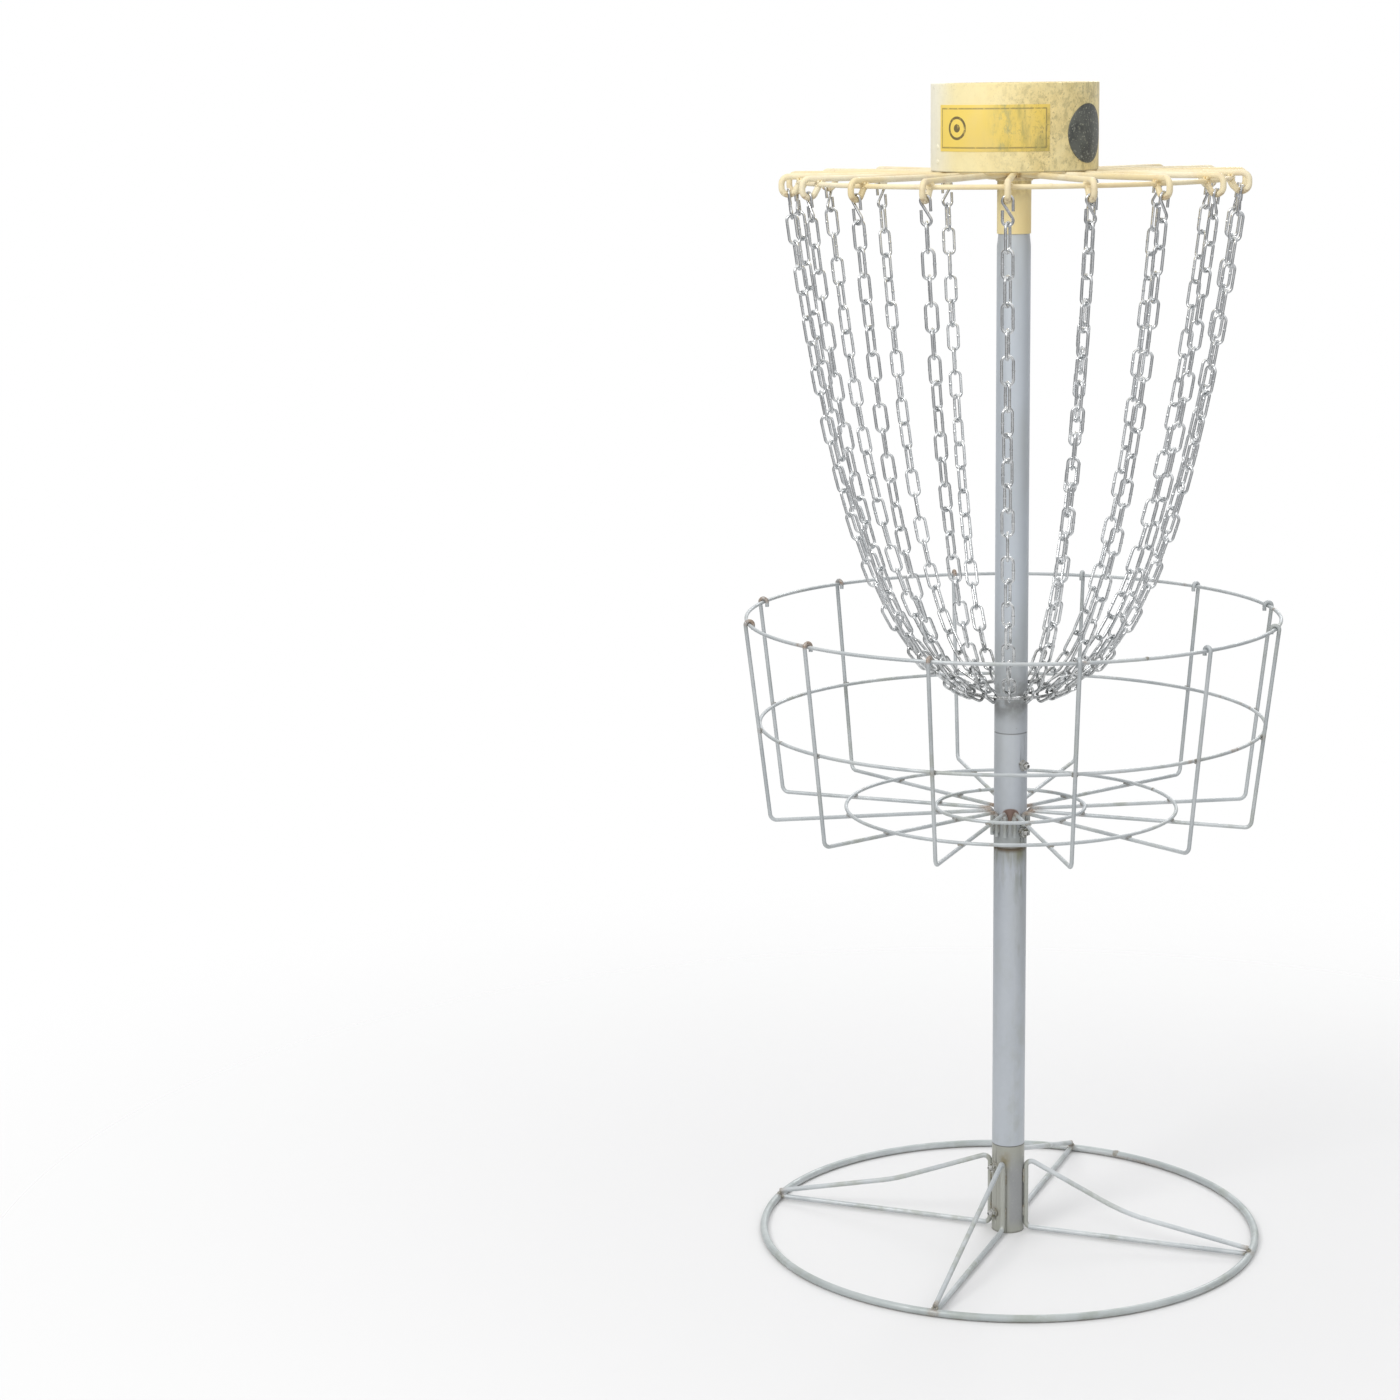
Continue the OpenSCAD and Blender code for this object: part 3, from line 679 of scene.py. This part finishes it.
def weld_run(start, end, radius, rng, ripple=0.0021, up=None, bow=None):
    """Bead of overlapping weld ripples from start to end, tapered at both ends.
    bow, if given, bends the run: a function from 0..1 to an offset vector."""
    start, end = Vector(start), Vector(end)
    length = max((end - start).length, radius)
    count = max(9, int(length / (ripple / 4)))
    points, radii = [], []
    for i in range(count + 1):
        t = i / count
        if length > 4 * radius:
            taper = math.sqrt(max(0.0, 1 - (2 * t - 1) ** 6))
        else:
            taper = math.sin(math.pi * t) ** 0.5
        wave = 0.88 + 0.12 * abs(math.sin(math.pi * t * length / ripple))
        points.append(start.lerp(end, t) + (bow(t) if bow else Vector()))
        radii.append(max(0.00015, radius * taper * wave * rng.uniform(0.93, 1.07)))
    return sweep(points, radii, 9, 1.0, up)


def arc_weld(centre, axis, radius, bead, start, sweep_angle, rng):
    """Bead along an arc round an axis, such as a fillet at a rod's end or a nut's foot."""
    axis = Vector(axis).normalized()
    side = axis.orthogonal().normalized()
    other = axis.cross(side)
    count = max(16, int(radius * math.radians(sweep_angle) / 0.0006))
    points, radii = [], []
    for i in range(count + 1):
        turn = math.radians(start + sweep_angle * i / count)
        points.append(Vector(centre) + side * (radius * math.cos(turn)) + other * (radius * math.sin(turn)))
        wave = 0.85 + 0.15 * abs(math.sin(i * 0.9))
        radii.append(bead * wave * rng.uniform(0.92, 1.08))
    if sweep_angle < 360:
        for i in (0, -1):
            radii[i] *= 0.35
    return sweep(points, radii, 8)


def hex_radius(turn, flats):
    """Distance from the middle of a hexagon to its edge in a direction."""
    sixth = math.pi / 3
    return flats / 2 / math.cos((turn % sixth) - sixth / 2)


def lathe(profile, place, sides=72, hexagonal=None):
    """Closed solid of (radius, height) rings about a local Z axis, put in place.
    A radius of None follows a hexagon of the given size between flats."""
    vertices, faces = [], []
    for radius, height in profile:
        for k in range(sides):
            turn = 2 * math.pi * k / sides
            reach = hex_radius(turn, hexagonal) if radius is None else radius
            level = height(reach) if callable(height) else height
            vertices.append(place @ Vector((reach * math.cos(turn), reach * math.sin(turn), level)))
    rows = len(profile)
    for i in range(rows - 1):
        for k in range(sides):
            after = (k + 1) % sides
            faces.append((i * sides + k, i * sides + after, (i + 1) * sides + after, (i + 1) * sides + k))
    return vertices, faces, rows, sides


def capped(solid):
    vertices, faces, rows, sides = solid
    faces = faces + [tuple(reversed(range(sides))), tuple(range((rows - 1) * sides, rows * sides))]
    return vertices, faces


def ringed(solid):
    """Joins the last ring back to the first, for a solid with a hole."""
    vertices, faces, rows, sides = solid
    last = (rows - 1) * sides
    faces = faces + [(last + k, last + (k + 1) % sides, (k + 1) % sides, k) for k in range(sides)]
    return vertices, faces


def radial_place(azimuth, height, distance=0.0):
    """Local Z out along the radius at an azimuth and height, from a distance off the axis."""
    out = polar(azimuth, 1, 0)
    turn = out.to_track_quat("Z", "X").to_matrix().to_4x4()
    return Matrix.Translation(out * distance + Vector((0, 0, height))) @ turn


def thread_profile(start, end, crest, pitch=0.0014, depth=0.0004):
    """Ridges of a screw thread as rings."""
    profile = []
    height = start
    while height + pitch < end:
        profile += [(crest - depth, height), (crest, height + pitch * 0.4), (crest, height + pitch * 0.55)]
        height += pitch
    profile.append((crest - depth, end))
    return profile


def bolt(azimuth, height, tip, end):
    """Headless screw with a hexagon socket in its outer end."""
    place = radial_place(azimuth, height)
    point = [(0.0008, tip), (BOLT_R * 0.72, tip + 0.0001)]
    thread = thread_profile(tip + 0.0008, end - 0.0007, BOLT_R)
    socket = [(BOLT_R - 0.0006, end), (SOCKET_FLATS * 0.60, end), (None, end - 0.0003),
              (None, end - 0.0035), (0.0004, end - 0.0042)]
    return capped(lathe(point + thread + socket, place, 72, SOCKET_FLATS))


def nut(azimuth, height, low, high):
    place = radial_place(azimuth, height)
    slope = 0.55
    crown = lambda reach: high - max(0.0, reach - NUT_FLATS * 0.475) * slope
    bore = BORE_R
    outside = [(bore + 0.0007, low), (NUT_FLATS * 0.47, low), (None, low + 0.0003), (None, crown),
               (NUT_FLATS * 0.47, high), (bore + 0.0007, high), (bore, high - 0.0007)]
    inside = [(r, z) for r, z in reversed(thread_profile(low + 0.0007, high - 0.0008, bore + 0.0004))]
    return ringed(lathe(outside + inside, place, 72, NUT_FLATS))


def make_set_hardware(prefix, bolt_body, nut_body, azimuth, material_bolt, material_nut):
    """Detailed set bolts and weld nuts in place of the CAD ones; gives back the nuts' heights."""
    low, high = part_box(prefix + "_set_nuts")
    heights = [low.z + NUT_FLATS * 0.5, high.z - NUT_FLATS * 0.5]
    out = polar(azimuth, 1, 0)
    reach = [v.co.dot(out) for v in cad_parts[prefix + "_set_nuts"].data.vertices]
    bolt_reach = [v.co.dot(out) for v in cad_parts[prefix + "_set_bolts"].data.vertices]
    nut_low, nut_high = min(reach), max(reach)
    bolts = add_mesh(prefix + "_set_screws",
                     [bolt(azimuth, z, min(bolt_reach), max(bolt_reach)) for z in heights],
                     material_bolt, bolt_body)
    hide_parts(prefix + "_set_bolts")
    nuts = add_mesh(prefix + "_weld_nuts", [nut(azimuth, z, nut_low, nut_high) for z in heights],
                    material_nut, nut_body)
    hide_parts(prefix + "_set_nuts")
    return heights


def soften(node, width):
    """Rounds a CAD node's sharp edges without touching its mesh."""
    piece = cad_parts[node]
    weld = piece.modifiers.new("merge", "WELD")
    weld.merge_threshold = 0.00002
    bevel = piece.modifiers.new("edges", "BEVEL")
    bevel.width = width
    bevel.segments = 3
    bevel.limit_method = "ANGLE"
    bevel.angle_limit = math.radians(50)
    bevel.harden_normals = False


def dress(node, material):
    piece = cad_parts[node]
    piece.data.materials.clear()
    piece.data.materials.append(material)


# ---------------------------------------------------------------- welds


def basket_welds(rng):
    """Spots where the ribs cross the rings, and fillets down the rib tails on the hub."""
    parts = []
    floor = OUTER_FLOOR.height - OUTER_FLOOR.rod
    outward = math.cos(math.atan2(RIM.radius - SIDE.radius, RIM.height - SIDE.height))
    for azimuth in RIBS:
        tangent = polar(azimuth + 90, 1, 0)
        for side in (-1, 1):
            crossings = [polar(azimuth, ring.radius + side * 0.0016, floor)
                         for ring in (OUTER_FLOOR, INNER_FLOOR)]
            crossings.append(polar(azimuth, SIDE.radius + SIDE.rod * outward, SIDE.height + side * 0.0018))
            for middle in crossings:
                parts.append(weld_run(middle - tangent * 0.0041, middle + tangent * 0.0041, 0.0014, rng))
            shift = tangent * side * RIB_ROD * 0.85
            low = 0.0165 if abs(azimuth - HUB_BOLT_AZIMUTH) < 15 else 0.0300
            foot = polar(azimuth, TUBE_R + RIB_ROD * 0.35, floor - low) + shift
            top = polar(azimuth, TUBE_R + RIB_ROD * 0.35, floor - 0.008) + shift
            parts.append(weld_run(foot, top, 0.0013, rng))
    return parts


def foot_welds(rng):
    """Fillets beside each leg's run down the sleeve, and beads where it meets the ring."""
    parts = []
    for azimuth in LEGS:
        tangent = polar(azimuth + 90, 1, 0)
        for bottom, top in ((0.020, 0.036), (0.066, 0.086)):
            for side in (-1, 1):
                shift = tangent * side * LEG_ROD * 0.9
                radius = TUBE_R + LEG_ROD * 0.28
                parts.append(weld_run(polar(azimuth, radius, bottom) + shift,
                                      polar(azimuth, radius, top) + shift, 0.0016, rng))
        inner = FOOT.radius - FOOT.rod
        for side in (-1, 1):
            shift = tangent * side * LEG_ROD * 0.8
            parts.append(weld_run(polar(azimuth, inner - 0.004, 0.0052) + shift,
                                  polar(azimuth, inner + 0.0012, 0.0058) + shift, 0.0019, rng))
            parts.append(weld_run(polar(azimuth, FOOT.radius - 0.004, 2 * FOOT.rod + 0.0012) + shift,
                                  polar(azimuth, FOOT.radius + 0.0015, 2 * FOOT.rod + 0.0002) + shift,
                                  0.0019, rng))
    return parts


def butt_weld(ring, azimuth, rng):
    """Raised band round the rod where a ring's two ends were joined."""
    span = 1.6 * ring.rod / ring.radius
    radii = [ring.rod * (0.99 + 0.12 * math.sin(math.pi * i / 10) * rng.uniform(0.9, 1.1))
             for i in range(11)]
    points = [polar(azimuth + math.degrees(span) * (i / 10 - 0.5), ring.radius,
                    ring.height + max(0.0, radius - ring.rod)) for i, radius in enumerate(radii)]
    return sweep(points, radii, 16)


def top_welds(rng):
    """Arms to hoop, eye tips to arms, arms to plate, and plate to sleeve."""
    parts = []
    arm_low = ARM_Z - ARM_ROD
    for azimuth in ARMS:
        tangent = polar(azimuth + 90, 1, 0)
        for side in (-1, 1):
            middle = polar(azimuth, HOOP.radius + side * 0.0022, arm_low + 0.0003)
            parts.append(weld_run(middle - tangent * 0.0052, middle + tangent * 0.0052, 0.0017, rng))
        for away, rise in ((0.0036, -0.0018), (-0.0012, -0.0034)):
            middle = polar(azimuth, HOOP.radius + away, HOOP.height + rise)
            parts.append(weld_run(middle - tangent * 0.0036, middle + tangent * 0.0036, 0.0013, rng))
        for side in (-1, 1):
            shift = tangent * side * ARM_ROD * 0.8
            parts.append(weld_run(polar(azimuth, 0.0255, arm_low + 0.0008) + shift,
                                  polar(azimuth, 0.0320, arm_low + 0.0008) + shift, 0.0016, rng))
    parts.append(arc_weld((0, 0, TOP_HIGH - 0.0006), (0, 0, 1), TUBE_R + 0.0006, 0.0017, 0, 360, rng))
    return parts


def nut_welds(azimuth, heights, rng):
    """A bead round the foot of each nut."""
    out = polar(azimuth, 1, 0)
    parts = []
    for height in heights:
        centre = out * (TUBE_R + 0.0004) + Vector((0, 0, height))
        for start in (20, 200):
            turned = start + rng.uniform(-15, 15)
            parts.append(arc_weld(centre, out, NUT_FLATS * 0.53, 0.0015, turned, 110, rng))
    return parts


def islands(node):
    """Vertex coordinates of each separate solid in a CAD node."""
    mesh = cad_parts[node].data
    co = np.empty(len(mesh.vertices) * 3)
    mesh.vertices.foreach_get("co", co)
    co = co.reshape(-1, 3)
    keys = {}
    label = [keys.setdefault(tuple(np.round(q, 6)), len(keys)) for q in co]
    parent = list(range(len(keys)))

    def root(i):
        while parent[i] != i:
            parent[i] = parent[parent[i]]
            i = parent[i]
        return i

    for polygon in mesh.polygons:
        first = root(label[polygon.vertices[0]])
        for v in polygon.vertices[1:]:
            parent[root(label[v])] = first
    groups = {}
    for index, key in enumerate(label):
        groups.setdefault(root(key), []).append(index)
    return [co[indices] for indices in groups.values()]


LINK_WIRE = 0.00185


def link_welds(node, rng):
    """The swelling where each link's wire was closed, half way along one long side."""
    parts = []
    for link in islands(node):
        centre = link.mean(0)
        axes = np.linalg.svd(link - centre, full_matrices=False)[2]
        along, across = Vector(axes[0]), Vector(axes[1])
        half_width = max((link - centre) @ axes[1]) - LINK_WIRE
        side = 1 if rng.random() < 0.5 else -1
        middle = Vector(centre) + across * (side * half_width)
        reach = 0.0034
        points = [middle + along * (reach * (i / 4 - 1)) for i in range(9)]
        radii = [LINK_WIRE * (0.90 + 0.26 * math.sin(math.pi * i / 8) ** 2) for i in range(9)]
        parts.append(sweep(points, radii, 12))
    return parts


def rivets():
    """Flat heads of the rivets that hold the band to its brackets."""
    parts = []
    for azimuth in BRACKET_AZIMUTHS:
        for height in (BAND_LOW + 0.012, BAND_LOW + 0.030):
            place = radial_place(azimuth - 3.4, height, BAND_R - 0.0004)
            profile = [(0.0030, 0.0), (0.0031, 0.0005), (0.0027, 0.0010), (0.0018, 0.0013),
                       (0.0004, 0.0014)]
            parts.append(capped(lathe(profile, place, 32)))
    return parts


# ---------------------------------------------------------------- putting it together


def dress_cad():
    tube = galvanised_tube()
    ribs = galvanised_rod("galvanised_ribs", rib_rust, 0.4)
    rings = galvanised_rod("galvanised_rings", floor_rust, 0.35)
    foot = galvanised_rod("galvanised_foot", foot_rust, 0.4)
    cream = cream_paint()
    band = band_plastic()
    chain = zinc("zinc_chain", (0.820, 0.835, 0.840), (0.640, 0.660, 0.670), 0.20)
    hook = zinc("zinc_hook", (0.700, 0.710, 0.715), (0.500, 0.510, 0.515), 0.26)
    looks = {
        "lower_pole": tube, "upper_pole": tube, "hub_sleeve": tube, "base_sleeve": foot_sleeve(),
        "basket_ribs": ribs, "rim_ring": rings, "side_ring": rings, "outer_floor_ring": rings,
        "inner_floor_ring": rings, "base_ring": foot, "base_legs": foot,
        "top_sleeve": cream, "top_plate": cream, "chain_arms": cream, "chain_hoop": cream,
        "band_brackets": cream, "number_band": band, "band_label": label_film(),
        "number_disc": disc_film(), "collector_ring": hook,
    }
    for number in CHAINS:
        looks["chain_" + number] = chain
        looks["s_hook_" + number] = hook
    for node, material in looks.items():
        dress(node, material)
    for node, width in (("lower_pole", 0.0005), ("upper_pole", 0.0005), ("hub_sleeve", 0.0004),
                        ("base_sleeve", 0.0004), ("top_sleeve", 0.0004), ("top_plate", 0.0006),
                        ("number_band", 0.0012), ("band_label", 0.0002), ("number_disc", 0.0006),
                        ("band_brackets", 0.0006)):
        soften(node, width)
    return chain, cream, band


def build():
    rng = random.Random(7)
    chain, cream, band = dress_cad()
    zinc_weld = weld_metal("zinc_weld", (0.330, 0.332, 0.295), (0.255, 0.225, 0.165))
    rod_weld = weld_metal("rod_weld", (0.380, 0.390, 0.380), (0.300, 0.280, 0.235))
    bolt_metal = set_hardware("bolt_metal", 0.1)
    nut_metal = set_hardware("nut_metal", 0.6)

    base_heights = make_set_hardware("base", "base_bolts", "base", BASE_BOLT_AZIMUTH,
                                     bolt_metal, nut_metal)
    hub_heights = make_set_hardware("hub", "hub_bolts", "basket", HUB_BOLT_AZIMUTH,
                                    bolt_metal, nut_metal)
    add_mesh("foot_weld_beads", foot_welds(rng) + nut_welds(BASE_BOLT_AZIMUTH, base_heights, rng),
             zinc_weld, "base")
    add_mesh("basket_weld_beads", basket_welds(rng) + nut_welds(HUB_BOLT_AZIMUTH, hub_heights, rng),
             rod_weld, "basket")
    add_mesh("basket_ring_joints", [butt_weld(ring, azimuth, rng) for ring, azimuth in
                                    ((RIM, 28), (SIDE, -62), (OUTER_FLOOR, 118), (INNER_FLOOR, 205))],
             rod_weld, "basket")
    add_mesh("foot_ring_joint", [butt_weld(FOOT, 152, rng)], rod_weld, "base")
    add_mesh("top_weld_beads", top_welds(rng), cream, "top")
    add_mesh("hoop_joint", [butt_weld(HOOP, 9, rng)], cream, "top")
    add_mesh("collector_joint", [butt_weld(COLLECTOR, 8.5, rng)], chain, "collector")
    add_mesh("band_rivets", rivets(), band, "top")
    for number in CHAINS:
        add_mesh("link_welds_" + number, link_welds("chain_" + number, rng), chain,
                 "hung_chain_" + number)


FLOOR_R = 7.0


def make_floor():
    """Pale floor that fades out into the white surroundings."""
    mesh = bpy.data.meshes.new("floor")
    ring = [polar(a, FLOOR_R, 0) for a in range(0, 360, 3)]
    mesh.from_pydata([tuple(v) for v in ring], [], [tuple(range(len(ring)))])
    floor = bpy.data.objects.new("floor", mesh)
    bpy.context.scene.collection.objects.link(floor)
    p = Paint("floor", 0.0, 0.9)
    p.shader.inputs["Base Color"].default_value = (0.75, 0.75, 0.75, 1)
    p.shader.inputs["Specular IOR Level"].default_value = 0.1
    p.links.new(p.fall(p.radius(), 0.4, 1.9), p.shader.inputs["Alpha"])
    mesh.materials.append(p.material)


make_camera()
make_studio()
make_floor()
build()
